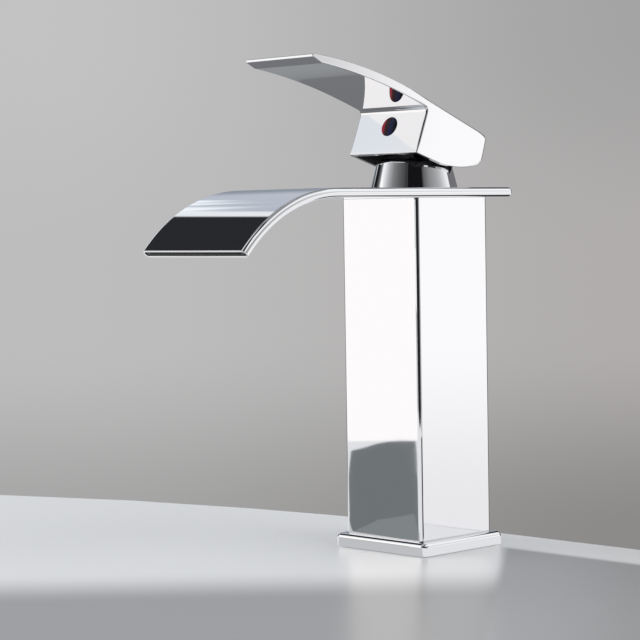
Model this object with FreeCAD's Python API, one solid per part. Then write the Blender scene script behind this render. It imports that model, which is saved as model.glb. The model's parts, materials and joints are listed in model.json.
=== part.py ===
import FreeCAD, Part
import math
import os

from FreeCAD import Vector

os.makedirs("parts", exist_ok=True)

# Waterfall basin faucet, in millimetres.
# Frame: +Z up, the spout points along -Y, +X is on the right of someone who stands behind it.
# Origin: middle of the face that rests on the basin deck.
# The lever is drawn raised, as it stands while water runs.

# ---------------------------------------------------------------- foot and column
FOOT_WIDTH = 55.0            # flange on the deck, side to side
FOOT_DEPTH = 52.0            # front to rear
FOOT_HEIGHT = 6.2            # deck to the top of the flange
FOOT_CORNER_R = 2.6
FOOT_EDGE_R = 2.0
FOOT_HOLE_R = 16.9           # hoses and stud pass here
SEAL_THICK = 2.5
SEAL_PROUD = 0.5             # what the rubber seal stands below the flange
SEAL_RIM = 2.5               # flange metal outside the seal

COLUMN_WIDTH = 46.0
COLUMN_WALL = 2.5
COLUMN_EDGE_R = 1.8
COLUMN_HEIGHT = 149.9

CORE_FIT = 0.1               # gap between the column wall and what is soldered inside it

# ---------------------------------------------------------------- water ways below the valve
BASE_BLOCK_HEIGHT = 19.2
PORT_X = 8.5                 # hot and cold ways, left and right of the middle
PORT_Y = -4.5
OUTLET_Y = 8.5               # mixed water leaves the valve here
INLET_R = 4.5                # M10x1 thread, inner radius
INLET_DEPTH = 12.0
WAY_R = 2.6                  # drilled water ways
TUBE_R = 5.0
TUBE_WALL = 1.0
TUBE_FIT = 0.05
TUBE_SOCKET = 5.0            # how far a tube sits in the blocks

# ---------------------------------------------------------------- valve chamber and cartridge
CHAMBER_HEIGHT = 34.0
CARTRIDGE_DEPTH = 25.0       # column top down to the chamber floor
CARTRIDGE_R = 17.4           # 35 mm ceramic cartridge
CARTRIDGE_FIT = 0.1
SHOULDER_RISE = 19.0         # floor to the shoulder that the nut clamps
NECK_R = 13.5
NECK_RISE = 32.0
BASE_THICK = 3.0
PORT_SEAL_R = 4.25
PORT_SEAL_HEIGHT = 1.0
PORT_SEAL_FIT = 0.05
DISC_R = 13.4
DISC_THICK = 3.5
DISC_GAP = 0.05
SLIDER_R = 10.8              # moving disc and its carrier
SLIDER_THICK = 2.95
SLIDER_POCKET_R = 7.8
SLIDER_POCKET_DEPTH = 1.6
CAVITY_R = 13.5
CARRIER_THICK = 3.0
TONGUE_X = 11.8
TONGUE_Y = 12.0
TONGUE_HEIGHT = 4.5
BALL_R = 3.0
BALL_FIT = 0.35
BALL_DROP = 7.5              # pivot pin to ball centre
PIVOT_RISE = 22.9            # floor to pivot pin
SPINDLE_R = 11.0
SPINDLE_FIT = 0.05
COLLAR_R = 13.1
COLLAR_HEIGHT = 3.7
SLIDE_FIT = 0.1
TURN_GAP = 0.3
SLIDER_TRAVEL = 2.6
PIN_R = 2.0
PIN_FIT = 0.04
PIN_INSET = 0.4
NUT_THREAD_R = 18.45
THREAD_FIT = 0.05
NUT_LIFT = 1.0               # nut thread above the column top
NUT_CROWN_R = 16.4
NUT_CROWN_HEIGHT = 8.4
NUT_BORE_FIT = 0.3
NUT_NOTCHES = 6
NUT_NOTCH_WIDTH = 3.0
NUT_NOTCH_DEPTH = 2.4
RISER_R = 2.5                # the two ways up to the spout
RISER_X = 16.2
RISER_Y = -16.2
GALLERY_DROP = 4.5           # floor down to the cross-drilled gallery
GALLERY_R = 2.3

# ---------------------------------------------------------------- spout
SPOUT_WIDTH = 63.4
SPOUT_THICK = 4.2
SPOUT_OVERHANG = 8.3         # plate past the back of the column
SPOUT_FLAT = 77.7            # column axis to the start of the bend
SPOUT_BEND_R = 72.5          # upper face of the bend
SPOUT_BEND = 49.0            # degrees
SPOUT_WALL = 0.9
SPOUT_HOLE_GAP = 0.35
CHANNEL_REAR = -13.0
SLEEVE_WALL = 1.1            # ring that keeps the channel off the cartridge nut
INSERT_ROOT = 6.0            # part of the insert that fills the channel
INSERT_NOSE = 3.6
INSERT_RECESS = 0.3
INSERT_FIT = 0.05
NOSE_HEIGHT = 1.3
NOSE_INSET = 1.0
NOSE_ROOT = 4.8              # part of the nose inside the root
SLOT_HEIGHT = 0.6
SLOT_INSET = 2.6

# ---------------------------------------------------------------- dome over the cartridge
DOME_FOOT_R = 19.5
DOME_HEIGHT = 13.5
DOME_TAPER = 0.25            # loss of radius per millimetre of height
DOME_WALL = 1.3
DOME_EDGE_R = 3.0
DOME_HOLE_R = 12.0

# ---------------------------------------------------------------- lever
# Side view in the shut position, measured from the pivot pin: y forwards is negative.
REST_LIFT = 13.0             # degrees above shut
LEVER_HALF_WIDTH = 20.5
LEVER_WALL = 2.0
LEVER_FRONT_WALL = 1.2       # where the front wall is thinnest
LEVER_ROOF = 3.2
LEVER_EDGE_R = 0.45
SKIRT_FRONT = (-24.5, 16.6)
SKIRT_LOW = (-8.0, 15.5)
SKIRT_MIDDLE = (5.0, 17.0)
SKIRT_REAR = (16.3, 20.7)
HEEL_LOW = (17.4, 22.9)
HEEL_MIDDLE = (18.1, 28.6)
CROWN_REAR = (18.2, 34.95)
CROWN_CORNER_R = 2.8
CROWN_FRONT = (-22.7, 41.1)
PADDLE_TOP = (-56.4, 44.2)
PADDLE_TIP_TOP = (-93.7, 41.7)
PADDLE_TIP_LOW = (-93.4, 40.55)
PADDLE_CHAMFER = (-88.3, 39.3)
PADDLE_UNDER = (-55.5, 40.3)
BROW = (-21.3, 37.3)         # where the front face meets the paddle

STEM_SIZE = 8.0
STEM_TOP = 35.5              # above the pivot
STEM_SLOT_FIT = 0.2
STEM_SLOT_Y = 7.0
STEM_ROD_R = 2.2
SOCKET_FIT = 0.1
SOCKET_WALL = 3.0
SOCKET_RISE = 24.0           # underside of the socket above the pivot
SCREW_RISE = 33.0
SCREW_R = 2.45
SCREW_FIT = 0.05
SCREW_LENGTH = 8.0
SCREW_KEY = 2.5              # across the flats of the hexagon socket
SCREW_KEY_DEPTH = 3.0
SCREW_BOSS_WALL = 2.1
INDEX_R = 4.5
INDEX_FIT = 0.05
INDEX_DEPTH = 1.6
INDEX_CROWN = 0.5
INDEX_ALONG_FACE = 0.62      # share of the front face's height

# ---------------------------------------------------------------- fixing below the deck
STUD_Y = 11.0
STUD_R = 3.95                # M8
STUD_FIT = 0.05
STUD_IN_BLOCK = 14.0
STUD_LENGTH = 70.0
DECK_GAP = 22.0              # room for the basin deck
CLAMP_R = 22.0
CLAMP_SLOT_X = 15.5
CLAMP_SLOT_Y = 4.0
CLAMP_HOLE_FIT = 0.35
CLAMP_SEAL_THICK = 3.0
CLAMP_WASHER_THICK = 2.0
NUT_FLATS = 13.0
NUT_HEIGHT = 8.0

# ---------------------------------------------------------------- heights that follow
COLUMN_TOP = FOOT_HEIGHT + COLUMN_HEIGHT
PLATE_TOP = COLUMN_TOP + SPOUT_THICK
PLATE_MIDDLE = COLUMN_TOP + SPOUT_THICK / 2
FLOOR = COLUMN_TOP - CARTRIDGE_DEPTH
CHAMBER_LOW = COLUMN_TOP - CHAMBER_HEIGHT
BLOCK_TOP = FOOT_HEIGHT + BASE_BLOCK_HEIGHT
PIVOT_Z = FLOOR + PIVOT_RISE
SHOULDER_Z = FLOOR + SHOULDER_RISE
DISC_Z = FLOOR + BASE_THICK
SLIDER_Z = DISC_Z + DISC_THICK + DISC_GAP
CARRIER_Z = SLIDER_Z + SLIDER_THICK
TONGUE_Z = CARRIER_Z + CARRIER_THICK
SPINDLE_Z = TONGUE_Z + TURN_GAP
GUIDE_TOP = TONGUE_Z + TONGUE_HEIGHT + TURN_GAP
CAVITY_TOP = SPINDLE_Z + COLLAR_HEIGHT + TURN_GAP
NECK_TOP = FLOOR + NECK_RISE
SPINDLE_TOP = NECK_TOP + TURN_GAP
BALL_Z = PIVOT_Z - BALL_DROP
THREAD_BORE_R = NUT_THREAD_R + THREAD_FIT
CORE_WIDTH = COLUMN_WIDTH - 2 * COLUMN_WALL - 2 * CORE_FIT
BEND_CENTRE = Vector(0, -SPOUT_FLAT, PLATE_TOP - SPOUT_BEND_R)
OVERRUN = 5.0                # how far a cutting tool runs past what it cuts
X_AXIS = Vector(1, 0, 0)
Y_AXIS = Vector(0, 1, 0)
Z_AXIS = Vector(0, 0, 1)


# ---------------------------------------------------------------- plain shapes
def block(half_x, half_y, low, high):
    """Upright block round the Z axis."""
    size = Part.makeBox(2 * half_x, 2 * half_y, high - low)
    size.translate(Vector(-half_x, -half_y, low))
    return size


def rod(radius, low, high, x=0.0, y=0.0):
    """Upright cylinder from height low to height high."""
    return Part.makeCylinder(radius, high - low, Vector(x, y, low), Z_AXIS)


def ring(outer, inner, low, high, x=0.0, y=0.0):
    """Upright tube."""
    return rod(outer, low, high, x, y).cut(rod(inner, low - OVERRUN, high + OVERRUN, x, y))


def drilling(radius, start, end):
    """Cylinder between two points."""
    return Part.makeCylinder(radius, (end - start).Length, start, end - start)


def hexagon(flats, low, high, x=0.0, y=0.0):
    """Upright hexagonal prism, measured across its flats."""
    corner_r = flats / 2 / math.cos(math.pi / 6)
    corners = []
    for side in range(7):
        turn = math.pi / 3 * side
        corners.append(Vector(x + corner_r * math.cos(turn), y + corner_r * math.sin(turn), low))
    return Part.Face(Part.makePolygon(corners)).extrude(Vector(0, 0, high - low))


def upright_edges(shape):
    """The straight edges that run along Z."""
    found = []
    for edge in shape.Edges:
        ends = [vertex.Point for vertex in edge.Vertexes]
        if len(ends) == 2 and abs((ends[1] - ends[0]).normalize().z) > 0.999:
            found.append(edge)
    return found


def save(name, shape):
    """Writes one sub-part."""
    shape.exportStep("parts/" + name + ".step")
    print(name, "solids", len(shape.Solids), "valid", shape.isValid(), "volume", round(shape.Volume))


# ---------------------------------------------------------------- foot and column
def base_flange():
    """Flange with round upper edges and a pocket for the seal."""
    half_x = FOOT_WIDTH / 2
    half_y = FOOT_DEPTH / 2
    plate = block(half_x, half_y, SEAL_PROUD, FOOT_HEIGHT)
    plate = plate.makeFillet(FOOT_CORNER_R, upright_edges(plate))
    top_edges = [edge for edge in plate.Edges if edge.BoundBox.ZMin > FOOT_HEIGHT - 0.01]
    plate = plate.makeFillet(FOOT_EDGE_R, top_edges)
    pocket = block(half_x - SEAL_RIM, half_y - SEAL_RIM, 0, SEAL_THICK)
    return plate.cut(pocket).cut(rod(FOOT_HOLE_R, 0, FOOT_HEIGHT + OVERRUN))


def base_seal():
    """Rubber seal with a round hole."""
    half_x = FOOT_WIDTH / 2 - SEAL_RIM - CORE_FIT
    half_y = FOOT_DEPTH / 2 - SEAL_RIM - CORE_FIT
    return block(half_x, half_y, 0, SEAL_THICK).cut(rod(FOOT_HOLE_R, -OVERRUN, OVERRUN))


def body_column():
    """Square tube with softened upright edges."""
    half = COLUMN_WIDTH / 2
    outer = block(half, half, FOOT_HEIGHT, COLUMN_TOP)
    outer = outer.makeFillet(COLUMN_EDGE_R, upright_edges(outer))
    inner = half - COLUMN_WALL
    return outer.cut(block(inner, inner, FOOT_HEIGHT - OVERRUN, COLUMN_TOP + OVERRUN))


def base_block():
    """Brass block in the foot of the column: two threaded inlets, a stud hole and tube sockets."""
    half = CORE_WIDTH / 2
    core = block(half, half, FOOT_HEIGHT, BLOCK_TOP)
    for side in (-1, 1):
        x = side * PORT_X
        core = core.cut(rod(INLET_R, FOOT_HEIGHT - OVERRUN, FOOT_HEIGHT + INLET_DEPTH, x, PORT_Y))
        core = core.cut(rod(WAY_R, FOOT_HEIGHT, BLOCK_TOP, x, PORT_Y))
        core = core.cut(rod(TUBE_R + TUBE_FIT, BLOCK_TOP - TUBE_SOCKET, BLOCK_TOP + OVERRUN, x, PORT_Y))
    hole_top = FOOT_HEIGHT + STUD_IN_BLOCK
    return core.cut(rod(STUD_R + STUD_FIT, FOOT_HEIGHT - OVERRUN, hole_top, 0, STUD_Y))


def supply_tube(side):
    """Tube from the base block up to the valve chamber."""
    low = BLOCK_TOP - TUBE_SOCKET
    return ring(TUBE_R, TUBE_R - TUBE_WALL, low, CHAMBER_LOW + TUBE_SOCKET, side * PORT_X, PORT_Y)


# ---------------------------------------------------------------- valve chamber
def valve_chamber():
    """Brass block that holds the cartridge, with drilled ways from the inlets and up to the spout."""
    half = CORE_WIDTH / 2
    gallery_z = FLOOR - GALLERY_DROP
    core = block(half, half, CHAMBER_LOW, COLUMN_TOP)
    core = core.cut(rod(CARTRIDGE_R + CARTRIDGE_FIT, FLOOR, COLUMN_TOP + OVERRUN))
    core = core.cut(rod(THREAD_BORE_R, SHOULDER_Z, COLUMN_TOP + OVERRUN))
    for side in (-1, 1):
        core = core.cut(rod(WAY_R, CHAMBER_LOW, FLOOR + OVERRUN, side * PORT_X, PORT_Y))
        socket_top = CHAMBER_LOW + TUBE_SOCKET
        socket = rod(TUBE_R + TUBE_FIT, CHAMBER_LOW - OVERRUN, socket_top, side * PORT_X, PORT_Y)
        core = core.cut(socket)
        core = core.cut(rod(RISER_R, gallery_z, COLUMN_TOP + OVERRUN, side * RISER_X, RISER_Y))
    core = core.cut(rod(WAY_R, gallery_z, FLOOR + OVERRUN, 0, OUTLET_Y))
    rear = Vector(0, OUTLET_Y, gallery_z)
    front = Vector(0, RISER_Y, gallery_z)
    core = core.cut(drilling(GALLERY_R, rear, front))
    left = Vector(-RISER_X, RISER_Y, gallery_z)
    right = Vector(RISER_X, RISER_Y, gallery_z)
    return core.cut(drilling(GALLERY_R, left, right))


def port_places():
    """Middles of the hot, cold and mixed water ports."""
    return ((-PORT_X, PORT_Y), (PORT_X, PORT_Y), (0, OUTLET_Y))


def port_seals():
    """Rubber rings under the cartridge, one round each port."""
    rings = []
    for x, y in port_places():
        inner = WAY_R + PORT_SEAL_FIT
        rings.append(ring(PORT_SEAL_R, inner, FLOOR, FLOOR + PORT_SEAL_HEIGHT, x, y))
    return Part.makeCompound(rings)


def cartridge_base():
    """Plastic foot of the cartridge with a pocket for each seal."""
    foot = rod(CARTRIDGE_R, FLOOR, DISC_Z)
    for x, y in port_places():
        pocket_r = PORT_SEAL_R + PORT_SEAL_FIT
        foot = foot.cut(rod(WAY_R, FLOOR - OVERRUN, DISC_Z + OVERRUN, x, y))
        foot = foot.cut(rod(pocket_r, FLOOR - OVERRUN, FLOOR + PORT_SEAL_HEIGHT, x, y))
    return foot


def fixed_disc():
    """Ceramic disc with the three ports."""
    disc = rod(DISC_R, DISC_Z, DISC_Z + DISC_THICK)
    for x, y in port_places():
        disc = disc.cut(rod(WAY_R, DISC_Z - OVERRUN, DISC_Z + DISC_THICK + OVERRUN, x, y))
    return disc


def moving_disc():
    """Ceramic disc whose lower pocket joins the ports."""
    disc = rod(SLIDER_R, SLIDER_Z, CARRIER_Z)
    return disc.cut(rod(SLIDER_POCKET_R, SLIDER_Z - OVERRUN, SLIDER_Z + SLIDER_POCKET_DEPTH))


def disc_carrier():
    """Plastic slider on the moving disc: a guide tongue with a pocket for the ball."""
    carrier = rod(SLIDER_R, CARRIER_Z, TONGUE_Z)
    tongue = block(TONGUE_X / 2, TONGUE_Y / 2, CARRIER_Z, TONGUE_Z + TONGUE_HEIGHT)
    half = BALL_R + BALL_FIT
    pocket = block(half, half, BALL_Z - half, TONGUE_Z + TONGUE_HEIGHT + OVERRUN)
    return carrier.fuse(tongue).removeSplitter().cut(pocket)


def cartridge_housing():
    """Cartridge shell: wide below for the discs, a neck above for the spindle."""
    shell = rod(CARTRIDGE_R, DISC_Z, SHOULDER_Z).fuse(rod(NECK_R, DISC_Z, NECK_TOP)).removeSplitter()
    shell = shell.cut(rod(CAVITY_R, DISC_Z - OVERRUN, CAVITY_TOP))
    return shell.cut(rod(SPINDLE_R + SPINDLE_FIT, DISC_Z, NECK_TOP + OVERRUN))


def cartridge_nut():
    """Threaded ring that clamps the cartridge, with spanner notches in its crown."""
    thread_top = COLUMN_TOP + NUT_LIFT
    crown_top = thread_top + NUT_CROWN_HEIGHT
    nut = rod(NUT_THREAD_R, SHOULDER_Z, thread_top).fuse(rod(NUT_CROWN_R, SHOULDER_Z, crown_top))
    nut = nut.removeSplitter().cut(rod(NECK_R + NUT_BORE_FIT, SHOULDER_Z - OVERRUN, crown_top + OVERRUN))
    for number in range(NUT_NOTCHES):
        notch = Part.makeBox(NUT_CROWN_R + OVERRUN, NUT_NOTCH_WIDTH, NUT_NOTCH_DEPTH + OVERRUN)
        notch.translate(Vector(0, -NUT_NOTCH_WIDTH / 2, crown_top - NUT_NOTCH_DEPTH))
        notch.rotate(Vector(0, 0, 0), Z_AXIS, 360.0 / NUT_NOTCHES * number)
        nut = nut.cut(notch)
    return nut


# ---------------------------------------------------------------- spindle and lever stem
def spindle():
    """Turning core of the cartridge: it guides the slider and carries the pivot pin."""
    core = rod(SPINDLE_R, SPINDLE_Z, SPINDLE_TOP).fuse(rod(COLLAR_R, SPINDLE_Z, SPINDLE_Z + COLLAR_HEIGHT))
    core = core.removeSplitter()
    guide_y = TONGUE_Y / 2 + SLIDER_TRAVEL
    core = core.cut(block(TONGUE_X / 2 + SLIDE_FIT, guide_y, SPINDLE_Z - OVERRUN, GUIDE_TOP))
    slot_x = STEM_SIZE / 2 + STEM_SLOT_FIT
    core = core.cut(block(slot_x, STEM_SLOT_Y, GUIDE_TOP - 0.1, SPINDLE_TOP + OVERRUN))
    far = Vector(SPINDLE_R + OVERRUN, 0, PIVOT_Z)
    near = Vector(-SPINDLE_R - OVERRUN, 0, PIVOT_Z)
    return core.cut(drilling(PIN_R, near, far))


def pivot_pin():
    """Steel pin that the lever tilts on."""
    reach = SPINDLE_R - PIN_INSET
    return drilling(PIN_R, Vector(-reach, 0, PIVOT_Z), Vector(reach, 0, PIVOT_Z))


def lever_stem():
    """Square stem with an eye for the pin and a ball below it."""
    half = STEM_SIZE / 2
    bar = block(half, half, PIVOT_Z, PIVOT_Z + STEM_TOP)
    eye = drilling(half, Vector(-half, 0, PIVOT_Z), Vector(half, 0, PIVOT_Z))
    leg = rod(STEM_ROD_R, BALL_Z, PIVOT_Z)
    ball = Part.makeSphere(BALL_R, Vector(0, 0, BALL_Z))
    stem = bar.fuse([eye, leg, ball]).removeSplitter()
    hole_start = Vector(-half - OVERRUN, 0, PIVOT_Z)
    hole_end = Vector(half + OVERRUN, 0, PIVOT_Z)
    return stem.cut(drilling(PIN_R + PIN_FIT, hole_start, hole_end))


# ---------------------------------------------------------------- spout
def spout_section(width, thick):
    """Flat section with full-round ends, standing across Y where the bend starts."""
    half = (width - thick) / 2
    radius = thick / 2
    y = -SPOUT_FLAT

    def point(x, z):
        return Vector(x, y, PLATE_MIDDLE + z)

    right = Part.Arc(point(half, radius), point(half + radius, 0), point(half, -radius))
    left = Part.Arc(point(-half, -radius), point(-half - radius, 0), point(-half, radius))
    lower = Part.LineSegment(point(half, -radius), point(-half, -radius))
    upper = Part.LineSegment(point(-half, radius), point(half, radius))
    edges = [right.toShape(), lower.toShape(), left.toShape(), upper.toShape()]
    return Part.Face(Part.Wire(edges))


def spout_bend(width, thick, start, end):
    """The section swept along the bend between two angles."""
    swept = spout_section(width, thick).revolve(BEND_CENTRE, X_AXIS, end - start)
    swept.rotate(BEND_CENTRE, X_AXIS, start)
    return swept


def spout_solid(width, thick, rear, end):
    """Flat stretch from the rear plus the bend."""
    flat = spout_section(width, thick).extrude(Vector(0, SPOUT_FLAT + rear, 0))
    return flat.fuse(spout_bend(width, thick, 0, end)).removeSplitter()


def spout():
    """Hollow waterfall plate: round edges all round, bent down at the front, open along its lip."""
    roll_r = SPOUT_THICK / 2
    rear = COLUMN_WIDTH / 2 + SPOUT_OVERHANG - roll_r
    half = SPOUT_WIDTH / 2 - roll_r
    plate = spout_solid(SPOUT_WIDTH, SPOUT_THICK, rear, SPOUT_BEND)
    left = Vector(-half, rear, PLATE_MIDDLE)
    right = Vector(half, rear, PLATE_MIDDLE)
    plate = plate.fuse(drilling(roll_r, left, right))
    plate = plate.fuse(Part.makeSphere(roll_r, left)).fuse(Part.makeSphere(roll_r, right))
    plate = plate.removeSplitter()
    hole_r = THREAD_BORE_R + SPOUT_HOLE_GAP
    inner_width = SPOUT_WIDTH - 2 * SPOUT_WALL
    inner_thick = SPOUT_THICK - 2 * SPOUT_WALL
    channel = spout_solid(inner_width, inner_thick, CHANNEL_REAR, SPOUT_BEND + OVERRUN)
    channel = channel.cut(rod(hole_r + SLEEVE_WALL, COLUMN_TOP - OVERRUN, PLATE_TOP + OVERRUN))
    plate = plate.cut(channel)
    plate = plate.cut(rod(hole_r, COLUMN_TOP - OVERRUN, PLATE_TOP + OVERRUN))
    for side in (-1, 1):
        plate = plate.cut(rod(RISER_R, COLUMN_TOP - OVERRUN, PLATE_MIDDLE, side * RISER_X, RISER_Y))
    return plate


def outlet_insert():
    """Thin strip in the mouth that spreads the water: its root fills the channel, its nose is slotted."""
    degrees_per_mm = math.degrees(1 / (SPOUT_BEND_R - SPOUT_THICK / 2))
    nose_end = SPOUT_BEND - INSERT_RECESS * degrees_per_mm
    root_end = nose_end - INSERT_NOSE * degrees_per_mm
    root_start = root_end - INSERT_ROOT * degrees_per_mm
    root_width = SPOUT_WIDTH - 2 * SPOUT_WALL - 2 * INSERT_FIT
    root_thick = SPOUT_THICK - 2 * SPOUT_WALL - 2 * INSERT_FIT
    root = spout_bend(root_width, root_thick, root_start, root_end)
    nose_width = root_width - 2 * NOSE_INSET
    nose_start = root_end - NOSE_ROOT * degrees_per_mm
    nose = spout_bend(nose_width, NOSE_HEIGHT, nose_start, nose_end)
    slot_width = root_width - 2 * SLOT_INSET
    slot = spout_bend(slot_width, SLOT_HEIGHT, root_start - OVERRUN, nose_end + OVERRUN)
    return root.fuse(nose).removeSplitter().cut(slot)


# ---------------------------------------------------------------- dome
def dome_cap():
    """Tapered cover over the cartridge nut, with a rounded rim and a hole for the stem."""
    top = PLATE_TOP + DOME_HEIGHT
    rim_z = top - DOME_EDGE_R
    rim_r = DOME_FOOT_R - DOME_TAPER * (DOME_HEIGHT - DOME_EDGE_R)
    inner_top = top - DOME_WALL
    inner_r = DOME_FOOT_R - DOME_WALL - DOME_TAPER * (DOME_HEIGHT - DOME_WALL)

    def point(radius, z):
        return Vector(radius, 0, z)

    corner = math.sqrt(0.5)
    bulge = point(rim_r - DOME_EDGE_R * (1 - corner), rim_z + DOME_EDGE_R * corner)
    flat_r = rim_r - DOME_EDGE_R
    edges = [
        Part.LineSegment(point(DOME_FOOT_R, PLATE_TOP), point(rim_r, rim_z)).toShape(),
        Part.Arc(point(rim_r, rim_z), bulge, point(flat_r, top)).toShape(),
        Part.LineSegment(point(flat_r, top), point(DOME_HOLE_R, top)).toShape(),
        Part.LineSegment(point(DOME_HOLE_R, top), point(DOME_HOLE_R, inner_top)).toShape(),
        Part.LineSegment(point(DOME_HOLE_R, inner_top), point(inner_r, inner_top)).toShape(),
        Part.LineSegment(point(inner_r, inner_top), point(DOME_FOOT_R - DOME_WALL, PLATE_TOP)).toShape(),
        Part.LineSegment(point(DOME_FOOT_R - DOME_WALL, PLATE_TOP), point(DOME_FOOT_R, PLATE_TOP)).toShape(),
    ]
    return Part.Face(Part.Wire(edges)).revolve(Vector(0, 0, 0), Z_AXIS, 360)


# ---------------------------------------------------------------- lever
def side_point(place, half_width):
    """A point of the lever's side view, in the shut position."""
    return Vector(-half_width, place[0], PIVOT_Z + place[1])


def raise_lever(shape):
    """Turns a shape from the shut position to the raised one."""
    shape.rotate(Vector(0, 0, PIVOT_Z), X_AXIS, -REST_LIFT)
    return shape


def lever_blank():
    """Solid outline of the lever: a tapered block with a long arched paddle."""
    half = LEVER_HALF_WIDTH

    def line(start, end):
        return Part.LineSegment(side_point(start, half), side_point(end, half)).toShape()

    def arc(start, middle, end):
        return Part.Arc(side_point(start, half), side_point(middle, half), side_point(end, half)).toShape()

    outline = [
        line(SKIRT_FRONT, SKIRT_LOW),
        arc(SKIRT_LOW, SKIRT_MIDDLE, SKIRT_REAR),
        line(SKIRT_REAR, HEEL_LOW),
        arc(HEEL_LOW, HEEL_MIDDLE, CROWN_REAR),
        line(CROWN_REAR, CROWN_FRONT),
        arc(CROWN_FRONT, PADDLE_TOP, PADDLE_TIP_TOP),
        line(PADDLE_TIP_TOP, PADDLE_TIP_LOW),
        line(PADDLE_TIP_LOW, PADDLE_CHAMFER),
        arc(PADDLE_CHAMFER, PADDLE_UNDER, BROW),
        line(BROW, SKIRT_FRONT),
    ]
    solid = Part.Face(Part.Wire(outline)).extrude(Vector(2 * half, 0, 0))
    crown = side_point(CROWN_REAR, 0)
    crown_edge = [edge for edge in solid.Edges if (edge.CenterOfMass - crown).Length < 0.01]
    solid = solid.makeFillet(CROWN_CORNER_R, crown_edge)
    side_edges = []
    for edge in solid.Edges:
        box = edge.BoundBox
        if box.XMax - box.XMin < 0.01:
            side_edges.append(edge)
    return solid.makeFillet(LEVER_EDGE_R, side_edges)


def lever_hollow():
    """Room inside the block of the lever, open below."""
    half = LEVER_HALF_WIDTH - LEVER_WALL
    front_low = (SKIRT_FRONT[0] + LEVER_FRONT_WALL, SKIRT_FRONT[1] - OVERRUN)
    front_high = (BROW[0] + LEVER_WALL, CROWN_FRONT[1] - LEVER_ROOF - LEVER_WALL)
    rear_high = (CROWN_REAR[0] - LEVER_WALL, CROWN_REAR[1] - LEVER_ROOF)
    rear_low = (SKIRT_REAR[0] - LEVER_WALL, SKIRT_FRONT[1] - OVERRUN)
    corners = [side_point(place, half) for place in (front_low, front_high, rear_high, rear_low, front_low)]
    return Part.Face(Part.makePolygon(corners)).extrude(Vector(2 * half, 0, 0))


def index_place():
    """Middle and outward direction of the index plug on the raised front face."""
    low = side_point(SKIRT_FRONT, 0)
    high = side_point(BROW, 0)
    middle = low + (high - low) * INDEX_ALONG_FACE
    along = (high - low).normalize()
    outward = X_AXIS.cross(along).normalize()
    if outward.y > 0:
        outward = outward * -1
    marker = raise_lever(Part.LineSegment(middle, middle + outward).toShape())
    ends = [vertex.Point for vertex in marker.Vertexes]
    return ends[0], ends[1] - ends[0]


def lever_handle():
    """Hollow lever with a square socket for the stem, a boss for the set screw and a plug recess."""
    blank = raise_lever(lever_blank())
    shell = blank.cut(raise_lever(lever_hollow()))
    socket_half = STEM_SIZE / 2 + SOCKET_FIT + SOCKET_WALL
    socket = block(socket_half, socket_half, PIVOT_Z + SOCKET_RISE, PIVOT_Z + STEM_TOP + 3 * OVERRUN)
    screw_z = PIVOT_Z + SCREW_RISE
    bore_r = SCREW_R + SCREW_FIT
    front = Vector(0, SKIRT_FRONT[0] - OVERRUN, screw_z)
    boss = drilling(bore_r + SCREW_BOSS_WALL, front, Vector(0, 0, screw_z))
    shell = shell.fuse([socket.common(blank), boss.common(blank)]).removeSplitter()
    room_half = STEM_SIZE / 2 + SOCKET_FIT
    shell = shell.cut(block(room_half, room_half, PIVOT_Z, PIVOT_Z + STEM_TOP + SOCKET_FIT))
    shell = shell.cut(drilling(bore_r, front, Vector(0, 0, screw_z)))
    middle, outward = index_place()
    recess = drilling(INDEX_R + INDEX_FIT, middle - outward * INDEX_DEPTH, middle + outward * OVERRUN)
    return shell.cut(recess)


def set_screw():
    """Grub screw that grips the stem, with a hexagon socket."""
    z = PIVOT_Z + SCREW_RISE
    tip = -STEM_SIZE / 2
    head = tip - SCREW_LENGTH
    screw = drilling(SCREW_R, Vector(0, head, z), Vector(0, tip, z))
    key = hexagon(SCREW_KEY, -OVERRUN, SCREW_KEY_DEPTH)
    key.rotate(Vector(0, 0, 0), X_AXIS, -90)
    key.translate(Vector(0, head, z))
    return screw.cut(key)


def index_half(side):
    """Half of the round index plug, slightly crowned; side is -1 for hot and 1 for cold."""
    middle, outward = index_place()
    crown_r = (INDEX_R ** 2 + INDEX_CROWN ** 2) / (2 * INDEX_CROWN)
    disc = drilling(INDEX_R, middle - outward * INDEX_DEPTH, middle + outward * INDEX_CROWN)
    disc = disc.common(Part.makeSphere(crown_r, middle + outward * (INDEX_CROWN - crown_r)))
    reach = 2 * INDEX_R
    keep = Part.makeBox(reach, 2 * reach, 2 * reach)
    start_x = 0.0 if side > 0 else -reach
    keep.translate(Vector(start_x, middle.y - reach, middle.z - reach))
    return disc.common(keep)


# ---------------------------------------------------------------- fixing below the deck
def fixing_stud():
    """Threaded stud from the base block down through the deck."""
    top = FOOT_HEIGHT + STUD_IN_BLOCK
    return rod(STUD_R, top - STUD_LENGTH, top, 0, STUD_Y)


def horseshoe(low, high):
    """Round plate open towards the hoses, with a stud hole."""
    plate = rod(CLAMP_R, low, high)
    slot = Part.makeBox(2 * CLAMP_SLOT_X, 2 * CLAMP_R, high - low + 2 * OVERRUN)
    slot.translate(Vector(-CLAMP_SLOT_X, CLAMP_SLOT_Y - 2 * CLAMP_R, low - OVERRUN))
    stud_hole = rod(STUD_R + CLAMP_HOLE_FIT, low - OVERRUN, high + OVERRUN, 0, STUD_Y)
    return plate.cut(slot).cut(stud_hole)


def fixing_nut():
    """Hexagon nut on the stud."""
    top = -DECK_GAP - CLAMP_SEAL_THICK - CLAMP_WASHER_THICK
    body = hexagon(NUT_FLATS, top - NUT_HEIGHT, top, 0, STUD_Y)
    bore = rod(STUD_R + STUD_FIT, top - NUT_HEIGHT - OVERRUN, top + OVERRUN, 0, STUD_Y)
    return body.cut(bore)


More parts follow.
